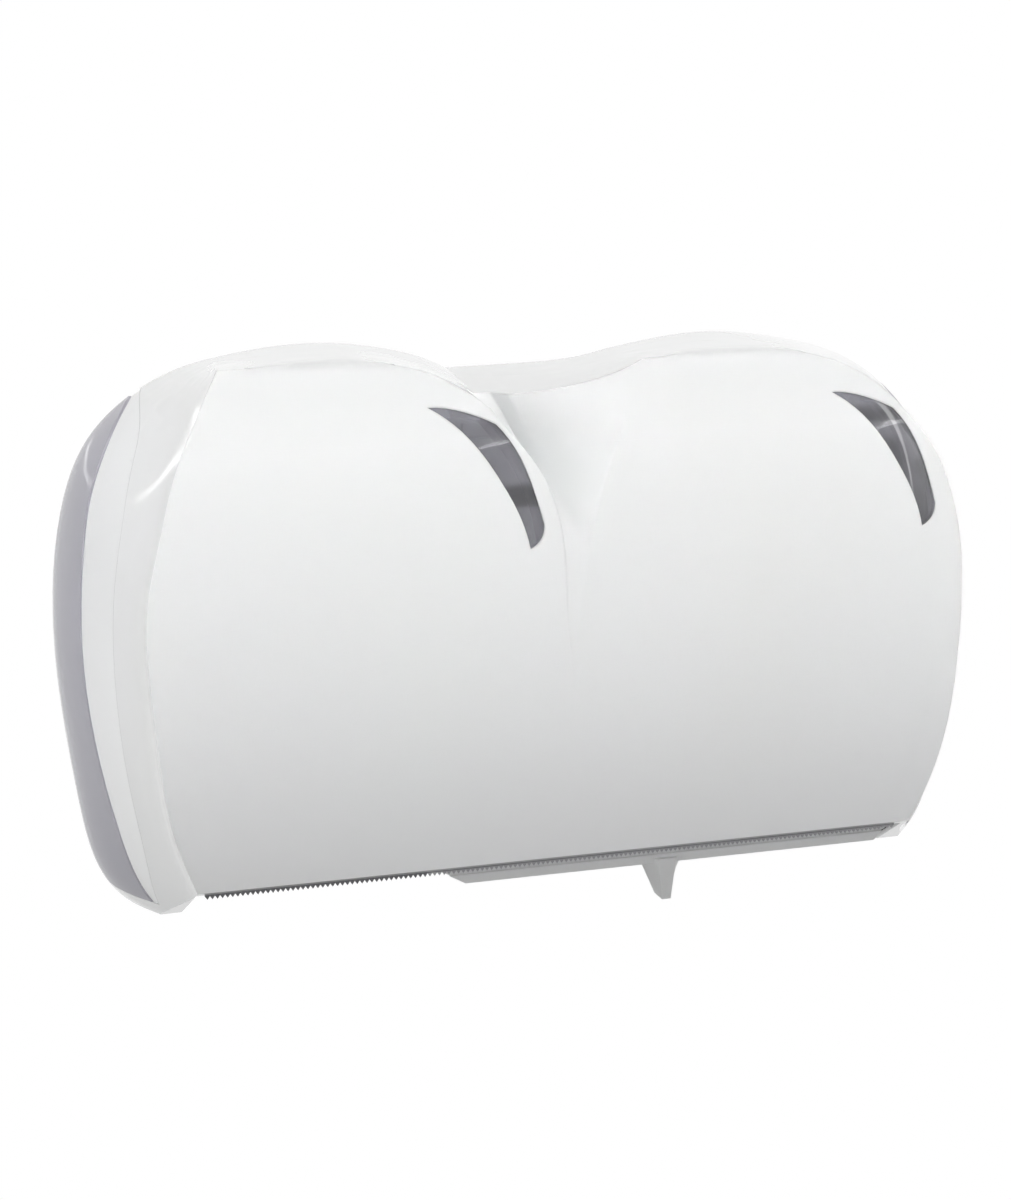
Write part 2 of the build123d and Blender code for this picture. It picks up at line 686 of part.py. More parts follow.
def headed_screw(x, z, seat, radius, length, head_radius, head_height):
    """Screw along the depth with its head seated at depth seat."""
    screw = rod_y(radius, x, z, seat - length, seat)
    screw += rod_y(head_radius, x, z, seat, seat + head_height)
    return screw - rod_y(driver_recess_radius, x, z, seat + head_height / 2, seat + head_height + cut_overrun)


def make_post_screws():
    screws = Part()
    seat = rib_depth + post_flange_wall - post_screw_recess
    for x in (-drum_centre, drum_centre):
        for angle in screw_angles():
            sx, sz = screw_spot(x, angle)
            screws += headed_screw(sx, sz, seat, post_screw_radius, seat - plate_wall,
                                   post_screw_head_radius, post_screw_head_height)
    return screws


def hub_cone(inset):
    """Tapered body of the core holder, its radii reduced by inset."""
    return Cone(hub_outer_radius - inset, hub_tip_radius - inset, hub_length,
                align=(Align.CENTER, Align.CENTER, Align.MIN))


def make_core_hub(x):
    """Finned holder for the roll core, turning on its post."""
    start = rib_depth + hub_start
    end = start + hub_length
    sleeve_radius = post_radius + hub_running + hub_sleeve_wall
    place = Pos(x, -start, spindle_height) * Rot(90, 0, 0)
    hub = place * (hub_cone(0) - hub_cone(hub_wall))
    hub += rod_y(sleeve_radius, x, spindle_height, start, end)
    for index in range(hub_fin_count):
        fin = Box(hub_outer_radius, hub_fin_wall, hub_length, align=(Align.MIN, Align.CENTER, Align.MIN))
        hub += place * (Rot(0, 0, index * 360 / hub_fin_count) * fin & hub_cone(hub_wall / 2))
    hub += rod_y(hub_disc_radius, x, spindle_height, start, start + hub_disc_wall)
    return hub - rod_y(post_radius + hub_running, x, spindle_height, start - cut_overrun, end + cut_overrun)


def make_end_cap(x):
    """Cap pressed in the post end, keeping the core holder on."""
    start = rib_depth + post_length
    cap = rod_y(cap_radius, x, spindle_height, start, start + cap_wall)
    cap = fillet(cap.edges().sort_by(Axis.Y)[0], cap_dome)
    return cap + rod_y(cap_stem_radius, x, spindle_height, start - cap_stem_length, start)


def make_brake_spring(x):
    """Bent strip clipped on the plate, its free end resting near the hub disc."""
    low = spindle_height - brake_offset
    front = rib_depth + hub_start - running_clearance - brake_wall
    path = [(-plate_wall, low - brake_foot_length), (-plate_wall, low),
            (-front, low + brake_reach * brake_bend_shares[0]), (-front, low + brake_reach * brake_bend_shares[1])]
    back = [(y - brake_wall, z) for y, z in path]
    return yz_prism(path + back[::-1], x - brake_width / 2, x + brake_width / 2)


plug_bottom = barrel_pocket_top - barrel_length - plug_drop
keeper_centre = keeper_left + keeper_width / 2
keeper_floor = plug_bottom - cam_wall - keeper_drop


def keeper_screw_heights():
    return [keeper_floor - drop for drop in keeper_screw_drops]


def barrel_screw_spots():
    return [(-barrel_screw_circle, -lock_depth), (barrel_screw_circle, -lock_depth)]


def make_lock_barrel():
    """Sleeve pushed up in the boss of the lining, held by its flange."""
    barrel = rod_z(barrel_radius, 0, -lock_depth, barrel_pocket_top - barrel_length, barrel_pocket_top)
    flange_top = boss_bottom - seat_clearance
    barrel += rod_z(boss_radius, 0, -lock_depth, flange_top - barrel_flange_wall, flange_top)
    for x, y in barrel_screw_spots():
        barrel -= rod_z(barrel_screw_radius + pin_clearance, x, y, 0, half_width)
    return barrel - rod_z(barrel_bore_radius, 0, -lock_depth, 0, half_width)


def make_barrel_screws():
    screws = Part()
    seat = boss_bottom - seat_clearance - barrel_flange_wall
    for x, y in barrel_screw_spots():
        screws += rod_z(barrel_screw_radius, x, y, seat, seat + barrel_screw_length)
        screws += rod_z(barrel_screw_head_radius, x, y, seat - barrel_screw_head_height, seat)
    return screws


def make_lock_plug():
    plug = rod_z(barrel_bore_radius - pin_clearance, 0, -lock_depth, plug_bottom, barrel_pocket_top)
    plug -= block(-keyway_width / 2, keyway_width / 2, -lock_depth - keyway_length / 2,
                  -lock_depth + keyway_length / 2, barrel_pocket_top - keyway_depth, half_width)
    return plug - rod_z(cam_screw_radius, 0, -lock_depth, 0, plug_bottom + cam_screw_length)


def make_lock_cam():
    """Arm under the plug, pointing to the wall when the cover is free."""
    bottom = plug_bottom - cam_wall
    cam = rod_z(cam_root_radius, 0, -lock_depth, bottom, plug_bottom)
    cam += block(-cam_width / 2, cam_width / 2, -lock_depth, -lock_depth + cam_reach, bottom, plug_bottom)
    return cam - rod_z(cam_screw_radius + pin_clearance, 0, -lock_depth, bottom - cut_overrun, half_width)


def make_cam_screw():
    bottom = plug_bottom - cam_wall
    screw = rod_z(cam_screw_radius, 0, -lock_depth, bottom, plug_bottom + cam_screw_length - running_clearance)
    return screw + rod_z(cam_screw_head_radius, 0, -lock_depth, bottom - cam_screw_head_height, bottom)


def make_lock_keeper():
    """Bracket on the plate whose raised lip stands in front of the locked arm."""
    left = keeper_left
    right = keeper_left + keeper_width
    lip_back = -lock_depth - cam_width / 2 - keeper_lip_gap
    floor = keeper_floor
    keeper = block(left, right, -plate_wall - keeper_wall, -plate_wall, floor - keeper_foot_height, floor)
    keeper += block(left, right, lip_back - keeper_wall, -plate_wall, floor - keeper_wall, floor)
    keeper += block(left, right, lip_back - keeper_wall, lip_back, floor, floor + keeper_lip_height)
    for z in keeper_screw_heights():
        keeper -= rod_y(keeper_screw_radius + pin_clearance, keeper_centre, z, -cut_overrun, cut_overrun)
    return keeper


def make_keeper_screws():
    screws = Part()
    seat = plate_wall + keeper_wall
    for z in keeper_screw_heights():
        screws += headed_screw(keeper_centre, z, seat, keeper_screw_radius, keeper_screw_length,
                               keeper_screw_head_radius, keeper_screw_head_height)
    return screws


outer_hull = hull(0)
bed_hull = hull(skin_wall + layer_gap)
middle_hull = hull(skin_wall + layer_gap + shell_wall / 2)
inner_hull = hull(skin_wall + layer_gap + shell_wall)

nodes = {
    "wall_plate": make_wall_plate(),
    "spindle_post_left": make_spindle_post(-drum_centre),
    "spindle_post_right": make_spindle_post(drum_centre),
    "post_screws": make_post_screws(),
    "end_cap_left": make_end_cap(-drum_centre),
    "end_cap_right": make_end_cap(drum_centre),
    "brake_spring_left": make_brake_spring(-drum_centre),
    "brake_spring_right": make_brake_spring(drum_centre),
    "hinge_pin_left": make_hinge_pin(-1),
    "hinge_pin_right": make_hinge_pin(1),
    "lock_keeper": make_lock_keeper(),
    "keeper_screws": make_keeper_screws(),
    "cover_skin": make_cover_skin(outer_hull, hull(skin_wall)),
    "cover_shell": make_cover_shell(outer_hull, bed_hull, middle_hull, inner_hull),
    "tear_edge": make_tear_edge(),
    "slider_rail": make_slider_rail(),
    "lock_barrel": make_lock_barrel(),
    "barrel_screws": make_barrel_screws(),
    "selector_bar": make_selector_bar(),
    "glide_shoes": make_glide_shoes(),
    "core_hub_left": make_core_hub(-drum_centre),
    "core_hub_right": make_core_hub(drum_centre),
    "lock_plug": make_lock_plug(),
    "lock_cam": make_lock_cam(),
    "cam_screw": make_cam_screw(),
}

for name, shape in nodes.items():
    export_step(shape, f"parts/{name}.step")
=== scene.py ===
import math

import bmesh
import bpy
from bpy.props import FloatProperty, FloatVectorProperty, PointerProperty
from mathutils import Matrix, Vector
from mathutils.bvhtree import BVHTree


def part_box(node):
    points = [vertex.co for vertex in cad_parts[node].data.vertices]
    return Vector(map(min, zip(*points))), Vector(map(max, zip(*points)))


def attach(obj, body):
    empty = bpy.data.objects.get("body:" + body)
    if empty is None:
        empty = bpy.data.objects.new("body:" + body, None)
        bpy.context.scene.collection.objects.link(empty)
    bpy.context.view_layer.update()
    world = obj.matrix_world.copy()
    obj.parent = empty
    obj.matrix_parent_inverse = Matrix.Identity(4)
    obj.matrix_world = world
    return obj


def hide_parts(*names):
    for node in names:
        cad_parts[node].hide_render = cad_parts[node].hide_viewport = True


bl_info = {
    "name": "Double roll dispenser",
    "version": (1, 0, 0),
    "blender": (4, 5, 0),
    "location": "View3D > Sidebar > Dispenser",
    "description": "Dresses a double roll paper dispenser with its plastics, teeth, screws and studio",
    "category": "Object",
}

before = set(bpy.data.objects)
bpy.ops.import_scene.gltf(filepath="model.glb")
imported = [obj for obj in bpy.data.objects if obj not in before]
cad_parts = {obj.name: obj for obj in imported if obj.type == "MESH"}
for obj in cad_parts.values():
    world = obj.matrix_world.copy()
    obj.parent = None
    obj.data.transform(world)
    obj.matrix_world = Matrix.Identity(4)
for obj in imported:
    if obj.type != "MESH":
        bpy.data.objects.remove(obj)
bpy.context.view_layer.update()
MM = 0.001
WELD = 0.01 * MM
STRIP_WELD = 0.005 * MM
# Shares of the edge rounding for the skin and for the core holders, and of the roughness for the leaf
SKIN_EDGE_SHARE = 2.0
HOLDER_EDGE_SHARE = 0.5
LEAF_ROUGHNESS_SHARE = 2.0
PLAIN_COLOUR = {"subtype": "COLOR", "size": 3, "min": 0.0, "max": 1.0}
LAMP_POWER = {"min": 0, "max": 500, "unit": "POWER"}
SIDES = ("left", "right")

# Layout of the drums, with X to the right, the front at -Y, Z up and the wall at Y 0
DRUM_SPACING = 0.212
SPINDLE_HEIGHT = 0.040

# Front of the cover: its greatest depth from the wall, the height where it has that depth, and its bulge
FRONT_DEPTH = 119 * MM
FRONT_MIDDLE = 5 * MM
FRONT_CURVE = 0.51

# Key slot in the crown, and how steeply the crown falls across it
SLOT_HALF_WIDTH = 2 * MM
SLOT_HALF_LENGTH = 5 * MM
SLOT_MIDDLE_DEPTH = 40 * MM
SLOT_LOWEST = 125 * MM
SLOT_WELD = 0.5 * MM
CROWN_SLOPE = 0.106

# Groove below the notch: its sides, its fade past them, its tip and its back. Its foot keeps a share of the
# depth, and from POCKET_RISE up the notch is left as it is.
GROOVE_SIDES = (-14 * MM, 9 * MM)
GROOVE_FADE = 8 * MM
GROOVE_TIP = (-40 * MM, -28 * MM)
GROOVE_BACK = 60 * MM
FOOT_DEPTH = 0.02
POCKET_RISE = (45 * MM, 105 * MM)

# Rays that reach only the outer face of the skin, and their start above it
FRONT_WAYS = (Vector((0, -1, 0)), Vector((0.5, -1, 0)), Vector((0, -1, 0.8)))
RAY_LIFT = 0.1 * MM

# Faces with soft edges: those of the crown from this height up, and those round the notch
CROWN_HEIGHT = 108 * MM
NOTCH_SIDES = (-19 * MM, 28 * MM)
NOTCH_TIP = -40 * MM
SOFT_DEPTH = 60 * MM

# Flat leaf on each flank: its distance from the middle, the heights over which its painted light fades, and
# its front edge as height and depth from the wall
LEAF_DISTANCE = 180 * MM
LEAF_LIGHT_FADE = (-0.11, 0.06)
LEAF_EDGE = ((-0.128, 0.073), (-0.100, 0.079), (-0.050, 0.079), (0.045, 0.078), (0.079, 0.0745),
             (0.1045, 0.061), (0.1165, 0.039), (0.125, 0.0))

# Where each tint of the smoked lining begins or ends, as the two ends of a smooth step. Most are heights or
# distances from the middle, and the edge of the reflection patches is in levels of the noise.
BAND_EDGE = (0.186, 0.198)
LIP_DROP = (0.100, 0.106)
LIP_END = (0.2, 0.203)
LEFT_PANE = ((-0.082, -0.078), (-0.018, -0.014))
RIGHT_PANE = ((0.130, 0.134), (0.194, 0.198))
PANE_FOOT = (0.047, 0.051)
LEFT_HALF_END = (-0.01, 0.01)
# Painted light and shade in the windows: a lit head, a shaded block, a lit foot and patches of painted
# reflection
LIT_HEAD_FOOT = (0.113, 0.119)
LIT_HEAD_STRENGTH = 0.7
SHADED_BLOCK_SPAN = ((0.0735, 0.0755), (0.083, 0.087))
LIT_FOOT_TOP = (0.0725, 0.0745)
REFLECTION_EDGE = (0.38, 0.62)

ZINC_GREY = (0.72, 0.72, 0.74)
SPRING_GREY = (0.55, 0.55, 0.57)

# Root line of the teeth, and where the bar begins behind them
TEETH_ROOT = (-0.1127, -0.1119)
BAR_START = (-0.080, -0.076)

# Post screws
SCREW_HEAD_RADIUS = 3.6 * MM
SCREW_HEAD_HEIGHT = 2.4 * MM
SCREW_SHANK_RADIUS = 2.0 * MM
SCREW_RING_RADIUS = 20.0 * MM
SCREWS_PER_POST = 3
SCREW_STEPS = 24

# Studio
CAMERA_PLACE = (-0.3072, -1.0340, 0.2536)
CAMERA_TARGET = (-0.0052, 0.0, 0.0)
SENSOR_WIDTH = 36.0
FLOOR_HEIGHT = -0.45
FLOOR_SIZE = 6.0
WHITE = (1.0, 1.0, 1.0, 1.0)
FLOOR_GREY = (0.3, 0.3, 0.3, 1.0)
# Name, place, target, width and height, power setting, share of it, spread in degrees
LAMPS = (
    ("ceiling softbox", (0.0, -0.45, 1.3), (0.0, -0.05, 0.1), (1.6, 0.5), "ceiling_power", 1.0, 180),
    ("graded softbox", (-0.2, -2.4, 0.95), (-0.02, -0.12, 0.11), (1.5, 0.3), "graded_power", 1.0, 7),
    ("strip lamp", (0.6, -2.5, 0.78), (0.0, -0.1, 0.1), (4.0, 0.05), "strip_power", 1.0, 180),
    ("rear strip lamp", (-1.3, 1.55, 0.36), (-0.2, -0.09, 0.1), (1.2, 0.06), "strip_power", 0.12, 180),
    ("left softbox", (-1.9, -1.1, -0.05), (-0.2, -0.05, -0.03), (0.8, 0.6), "side_power", 1.0, 180),
    ("low left softbox", (-2.0, -0.1, -0.2), (-0.22, -0.06, -0.09), (0.4, 0.2), "side_power", 0.004, 16),
    ("right softbox", (1.9, -1.4, 0.1), (0.1, -0.05, 0.0), (0.6, 0.8), "side_power", 0.4, 180),
)
UNSEEN_IN_GLOSS = ("graded softbox",)


# Sizes and colours that a user may change


class CoverSettings(bpy.types.PropertyGroup):
    skin_colour: FloatVectorProperty(
        name="Skin colour", description="White of the outer cover", default=(0.86, 0.868, 0.866),
        **PLAIN_COLOUR)
    skin_roughness: FloatProperty(
        name="Skin roughness", description="How matt the white cover is", default=0.12, min=0.02, max=0.9)
    smoke_colour: FloatVectorProperty(
        name="Smoke colour", description="Grey of the smoked windows", default=(0.2, 0.198, 0.225),
        **PLAIN_COLOUR)
    band_colour: FloatVectorProperty(
        name="Band colour", description="Paler grey of the side bands", default=(0.43, 0.425, 0.475),
        **PLAIN_COLOUR)
    lip_colour: FloatVectorProperty(
        name="Lip colour", description="Dark grey of the lining round the mouth", default=(0.08, 0.08, 0.09),
        **PLAIN_COLOUR)
    smoke_density: FloatProperty(
        name="Smoke density", description="Share of light stopped by the windows", default=0.5,
        min=0.0, max=1.0)
    crease_angle: FloatProperty(
        name="Crease angle", description="Edges sharper than this stay crisp", default=math.radians(24),
        min=0.1, max=1.5, subtype="ANGLE")
    edge_round: FloatProperty(
        name="Edge rounding", description="Radius on the edges of mouldings", default=0.35 * MM,
        min=0.05 * MM, max=2 * MM, unit="LENGTH")
    arris_round: FloatProperty(
        name="Arris rounding", description="Softness of the edges round the notch", default=2.0 * MM,
        min=0.1 * MM, max=8 * MM, unit="LENGTH")


class StripSettings(bpy.types.PropertyGroup):
    tooth_pitch: FloatProperty(
        name="Tooth pitch", description="Distance between teeth", default=2.5 * MM, min=1 * MM, max=9 * MM,
        unit="LENGTH")
    tooth_height: FloatProperty(
        name="Tooth height", description="Height of a tooth", default=1.8 * MM, min=0.5 * MM, max=6 * MM,
        unit="LENGTH")
    colour: FloatVectorProperty(
        name="Strip colour", description="Dark smoke of the serrated strip", default=(0.1, 0.1, 0.11),
        **PLAIN_COLOUR)
    paler_colour: FloatVectorProperty(
        name="Paler colour", description="Look of the teeth over the bar", default=(0.4, 0.4, 0.41),
        **PLAIN_COLOUR)


class InsideSettings(bpy.types.PropertyGroup):
    plate_colour: FloatVectorProperty(
        name="Plate colour", description="Plastic of the wall plate and core holders",
        default=(0.74, 0.745, 0.745), **PLAIN_COLOUR)
    bar_colour: FloatVectorProperty(
        name="Bar colour", description="Light grey of the sliding bar", default=(0.68, 0.685, 0.685),
        **PLAIN_COLOUR)
    acetal_colour: FloatVectorProperty(
        name="Acetal colour", description="Grey of the rail and the end caps", default=(0.42, 0.42, 0.43),
        **PLAIN_COLOUR)
    dark_colour: FloatVectorProperty(
        name="Dark colour", description="Lock and glide plastic", default=(0.03, 0.03, 0.033), **PLAIN_COLOUR)


class StudioSettings(bpy.types.PropertyGroup):
    lens: FloatProperty(
        name="Lens", description="Camera focal length in millimetres", default=60.0, min=10, max=200)
    sky_strength: FloatProperty(
        name="Sky", description="Strength of the even light", default=0.54, min=0, max=3)
    ceiling_power: FloatProperty(
        name="Ceiling light", description="Power of the overhead softbox", default=0.6, **LAMP_POWER)
    graded_power: FloatProperty(
        name="Graded light", description="Power of the gridded front softbox", default=0.7, **LAMP_POWER)
    strip_power: FloatProperty(
        name="Strip light", description="Power of the thin front lamp, shared by the rear one", default=3.0,
        **LAMP_POWER)
    side_power: FloatProperty(
        name="Side light", description="Power of the left softbox, shared by the low and right ones",
        default=7.0, **LAMP_POWER)


# Shader maths


def add_node(tree, kind, settings=None, inputs=None):
    """New node with its settings, each input linked to a socket or set to a value."""
    made = tree.nodes.new(kind)
    for key, value in (settings or {}).items():
        setattr(made, key, value)
    for key, value in (inputs or {}).items():
        if isinstance(value, bpy.types.NodeSocket):
            tree.links.new(value, made.inputs[key])
        else:
            made.inputs[key].default_value = value
    return made


class Field:
    """One socket of a material, used in plain arithmetic."""

    def __init__(self, finish, socket):
        self.finish = finish
        self.socket = socket

    def maths(self, operation, *values):
        return self.finish.node("ShaderNodeMath", {"operation": operation}, dict(enumerate(values)))

    def __add__(self, other):
        return self.maths("ADD", self, other)

    def __sub__(self, other):
        return self.maths("SUBTRACT", self, other)

    def __rsub__(self, other):
        return self.maths("SUBTRACT", other, self)

    def __mul__(self, other):
        return self.maths("MULTIPLY", self, other)

    def size(self):
        return self.maths("ABSOLUTE", self)

    def held(self):
        return self.maths("MINIMUM", self, 1.0)

    def rise(self, low, high):
        """Smooth step from zero at low to one at high."""
        return self.finish.node("ShaderNodeMapRange", {"interpolation_type": "SMOOTHSTEP"},
                                {0: self, 1: low, 2: high})

    def between(self, start, end):
        """One from the smooth step start to the smooth step end, zero outside them."""
        return self.rise(*start) * (1.0 - self.rise(*end))


class Shading:
    """A node tree for a surface or the sky."""

    def __init__(self, tree):
        self.tree = tree
        self.tree.nodes.clear()

    def node(self, kind, settings=None, inputs=None, output=0):
        plain = {key: value.socket if isinstance(value, Field) else value
                 for key, value in (inputs or {}).items()}
        return Field(self, add_node(self.tree, kind, settings, plain).outputs[output])

    def seen_directly(self):
        """One for camera, glossy and transmission rays, zero for the rays that light the object."""
        rays = [self.node("ShaderNodeLightPath", output="Is %s Ray" % kind)
                for kind in ("Camera", "Glossy", "Transmission")]
        return (rays[0] + rays[1] + rays[2]).held()

    def close(self, shader, kind="ShaderNodeOutputMaterial"):
        add_node(self.tree, kind, inputs={"Surface": shader.socket})


class Finish(Shading):
    """A material built from patterns on object coordinates."""

    def __init__(self, name):
        self.material = bpy.data.materials.new(name)
        self.material.use_nodes = True
        super().__init__(self.material.node_tree)

    def place(self):
        return self.node("ShaderNodeTexCoord", output="Object")

    def along(self, axis):
        return self.node("ShaderNodeSeparateXYZ", inputs={0: self.place()}, output=axis)

    def noise(self, scale, detail=3.0, distortion=0.0):
        return self.node("ShaderNodeTexNoise", inputs={
            "Vector": self.place(), "Scale": scale, "Detail": detail, "Distortion": distortion})

    def tint(self, factor, low, high):
        ends = [part if isinstance(part, Field) else (*part, 1.0) for part in (low, high)]
        return self.node("ShaderNodeMix", {"data_type": "RGBA"}, {0: factor, 6: ends[0], 7: ends[1]}, 2)

    def bump(self, height, strength, distance, **base):
        return self.node("ShaderNodeBump", inputs={
            "Strength": strength, "Distance": distance, "Height": height, **base})

    def eased(self, radius):
        """Normal with the edges rounded by a radius."""
        return self.node("ShaderNodeBevel", {"samples": 6}, {"Radius": radius})

    def surface(self, **sockets):
        values = {key.replace("_", " "): value for key, value in sockets.items()}
        shader = self.node("ShaderNodeBsdfPrincipled", inputs=values, output="BSDF")
        self.close(shader)
        return self.material


def shade(colour, share):
    return tuple(part * share for part in colour)


def glossy_moulding(name, colour, roughness, edge):
    """Polished moulding: broad flow tint, faint orange peel, slightly uneven gloss, eased edges."""
    finish = Finish(name)
    flow = finish.noise(9.0, detail=2.0, distortion=0.6)
    peel = finish.noise(420.0, detail=2.0)
    return finish.surface(
        Base_Color=finish.tint(flow, shade(colour, 0.985), colour),
        Roughness=flow * 0.03 + (roughness - 0.015),
        Normal=finish.bump(peel, strength=0.03, distance=0.04 * MM, Normal=finish.eased(edge)),
        Coat_Weight=0.5, Coat_Roughness=0.03, IOR=1.5)


def leaf_moulding(name, colour, roughness):
    """Plainer gloss of the flat leaves, with painted light making them a little paler toward the foot."""
    finish = Finish(name)
    peel = finish.noise(420.0, detail=2.0)
    # Painted light: the leaf is a little paler toward its foot
    height = finish.along("Z").rise(*LEAF_LIGHT_FADE)
    return finish.surface(
        Base_Color=finish.tint(height, shade(colour, 1.09), colour),
        Roughness=peel * 0.04 + roughness,
        Normal=finish.bump(peel, strength=0.03, distance=0.04 * MM),
        Coat_Weight=0.2, Coat_Roughness=0.06, IOR=1.5)


def satin_moulding(name, colour, roughness, grain):
    """Satin moulding with a fine grain."""
    finish = Finish(name)
    flow = finish.noise(14.0, distortion=0.4)
    spark = finish.noise(grain, detail=4.0)
    return finish.surface(
        Base_Color=finish.tint(flow, shade(colour, 0.95), colour),
        Roughness=spark * 0.12 + (roughness - 0.06),
        Normal=finish.bump(spark, strength=0.16, distance=0.08 * MM), IOR=1.49)


def window_painted_light(finish, colour):
    """Painted light and shade in the windows: reflection patches, a lit head, and at the left a shaded block
    and lit foot.
    """
    across = finish.along("X")
    height = finish.along("Z")
    left = 1.0 - across.rise(*LEFT_HALF_END)
    # Noise patches of painted reflection over the panes
    painted_reflections = finish.noise(38.0, detail=1.0, distortion=0.5).rise(*REFLECTION_EDGE)
    seen = finish.tint(painted_reflections, shade(colour, 0.5), shade(colour, 1.5))
    # Painted highlight at the head, painted shade on a block inside and painted light on a foot inside
    head = height.rise(*LIT_HEAD_FOOT) * LIT_HEAD_STRENGTH
    shaded_block = height.between(*SHADED_BLOCK_SPAN) * left
    foot = (1.0 - height.rise(*LIT_FOOT_TOP)) * left
    for form, share in ((head, 2.6), (shaded_block, 0.4), (foot, 1.35)):
        seen = finish.tint(form, seen, shade(colour, share))
    panes = (across.between(*LEFT_PANE) + across.between(*RIGHT_PANE)) * height.rise(*PANE_FOOT)
    return finish.tint(panes, colour, seen)


def smoked_lining(name, cover):
    """Smoked clear plastic: clearest in the windows, which carry painted light and shade, paler in the side
    bands, darkest round the mouth.
    """
    finish = Finish(name)
    cloud = finish.noise(6.0, distortion=0.8)
    grain = finish.noise(260.0, detail=2.0)
    side = finish.along("X").size()
    band = side.rise(*BAND_EDGE)
    lip = (0.0 - finish.along("Z")).rise(*LIP_DROP) * (1.0 - side.rise(*LIP_END))
    sides = finish.tint(band, window_painted_light(finish, cover.smoke_colour), cover.band_colour)
    density = band * (0.92 - cover.smoke_density) + cloud * 0.06 + (cover.smoke_density - 0.03)
    return finish.surface(
        Base_Color=finish.tint(lip, sides, cover.lip_colour),
        Roughness=cloud * 0.05 + 0.06,
        Alpha=(density + lip * 0.4).held(),
        Normal=finish.bump(grain, strength=0.03, distance=0.04 * MM),
        Coat_Weight=1.0 - band, Coat_Roughness=0.03, Coat_IOR=1.7, IOR=1.56)


def strip_moulding(name, strip):
    """Dark smoked plastic whose teeth are painted paler where the lit bar shows through them."""
    finish = Finish(name)
    cloud = finish.noise(16.0, distortion=0.8)
    grain = finish.noise(300.0, detail=2.0)
    teeth = 1.0 - finish.along("Z").rise(*TEETH_ROOT)
    # Painted light: teeth over the bar are paler, standing in for the lit bar behind them
    painted_show_through = finish.along("X").rise(*BAR_START) * teeth
    dark = finish.tint(cloud, shade(strip.colour, 0.85), strip.colour)
    return finish.surface(
        Base_Color=finish.tint(painted_show_through, dark, strip.paler_colour),
        Roughness=cloud * 0.08 + 0.14, Alpha=cloud * 0.06 + 0.82,
        Normal=finish.bump(grain, strength=0.05, distance=0.05 * MM), IOR=1.56)


def brushed_metal(name, colour, roughness, stretch):
    """Zinc plated or bare strip, brushed along one direction."""
    finish = Finish(name)
    drawn = finish.node("ShaderNodeMapping", inputs={"Vector": finish.place(), "Scale": stretch})
    lines = finish.node("ShaderNodeTexNoise", inputs={"Vector": drawn, "Scale": 380.0, "Detail": 4.0})
    cloud = finish.noise(60.0)
    return finish.surface(
        Base_Color=finish.tint(cloud, shade(colour, 0.86), colour), Metallic=1.0,
        Roughness=lines * 0.18 + (roughness - 0.09),
        Normal=finish.bump(lines, strength=0.12, distance=0.03 * MM))


# Materials, made once and shared


FINISHES = {}


def make_finishes():
    cover = bpy.context.scene.dispenser_cover
    strip = bpy.context.scene.dispenser_strip
    inside = bpy.context.scene.dispenser_inside
    return {
        "skin": glossy_moulding("white glossy moulding", cover.skin_colour, cover.skin_roughness,
                                cover.edge_round * SKIN_EDGE_SHARE),
        "arris": glossy_moulding("white moulding with soft edges", cover.skin_colour, cover.skin_roughness,
                                 cover.arris_round),
        "leaf": leaf_moulding("white flank moulding", cover.skin_colour,
                              cover.skin_roughness * LEAF_ROUGHNESS_SHARE),
        "smoke": smoked_lining("smoked clear moulding", cover),
        "strip": strip_moulding("dark smoked strip", strip),
        "bar": satin_moulding("light grey satin moulding", inside.bar_colour, roughness=0.34, grain=900.0),
        "plate": satin_moulding("white satin moulding", inside.plate_colour, roughness=0.42, grain=700.0),
        "acetal": satin_moulding("grey acetal", inside.acetal_colour, roughness=0.4, grain=800.0),
        "dark": satin_moulding("dark acetal", inside.dark_colour, roughness=0.36, grain=800.0),
        "zinc": brushed_metal("zinc plated steel", ZINC_GREY, roughness=0.3, stretch=(1.0, 1.0, 14.0)),
        "spring": brushed_metal("spring steel", SPRING_GREY, roughness=0.26, stretch=(20.0, 20.0, 1.0)),
    }


# Mesh helpers


def paint(piece, material):
    piece.data.materials.clear()
    piece.data.materials.append(material)


def paint_nodes(finish, *nodes):
    """Give CAD pieces one of the shared finishes."""
    for node in nodes:
        paint(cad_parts[node], FINISHES[finish])


def new_piece(name, mesh):
    piece = bpy.data.objects.new(name, mesh)
    bpy.context.scene.collection.objects.link(piece)
    return piece


def finished_mesh(piece):
    """The piece's modifiers turned into a plain mesh."""
    bpy.context.view_layer.update()
    graph = bpy.context.evaluated_depsgraph_get()
    made = bpy.data.meshes.new_from_object(piece.evaluated_get(graph), depsgraph=graph)
    piece.modifiers.clear()
    piece.data = made
    return piece


def dressed_copy(node, name, finish, body, slot_name, round_size=0, reshape=None):
    """Welded copy of a CAD node with softened edges, standing for that node."""
    crease = bpy.context.scene.dispenser_cover.crease_angle
    mesh = bpy.data.meshes.new(name)
    work = bmesh.new()
    work.from_mesh(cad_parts[node].data)
    bmesh.ops.remove_doubles(work, verts=work.verts, dist=WELD)
    bmesh.ops.dissolve_degenerate(work, edges=work.edges, dist=WELD)
    if reshape:
        reshape(work)
    for edge in work.edges:
        edge.smooth = not (edge.is_manifold and edge.calc_face_angle(0.0) > crease)
    for face in work.faces:
        face.smooth = True
    work.to_mesh(mesh)
    work.free()
    piece = new_piece(name, mesh)
    if round_size:
        soften = piece.modifiers.new("round", "BEVEL")
        soften.limit_method = "ANGLE"
        soften.angle_limit = crease
        soften.width = round_size
        soften.segments = 2
        finished_mesh(piece)
    paint(piece, FINISHES[finish])
    return hand_over(piece, body, slot_name, node)


def hand_over(piece, body, slot_name, *nodes):
    """Let the piece stand for its CAD nodes and move with a body."""
    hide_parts(*nodes)
    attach(piece, body)
    return piece


# Geometry Nodes helpers


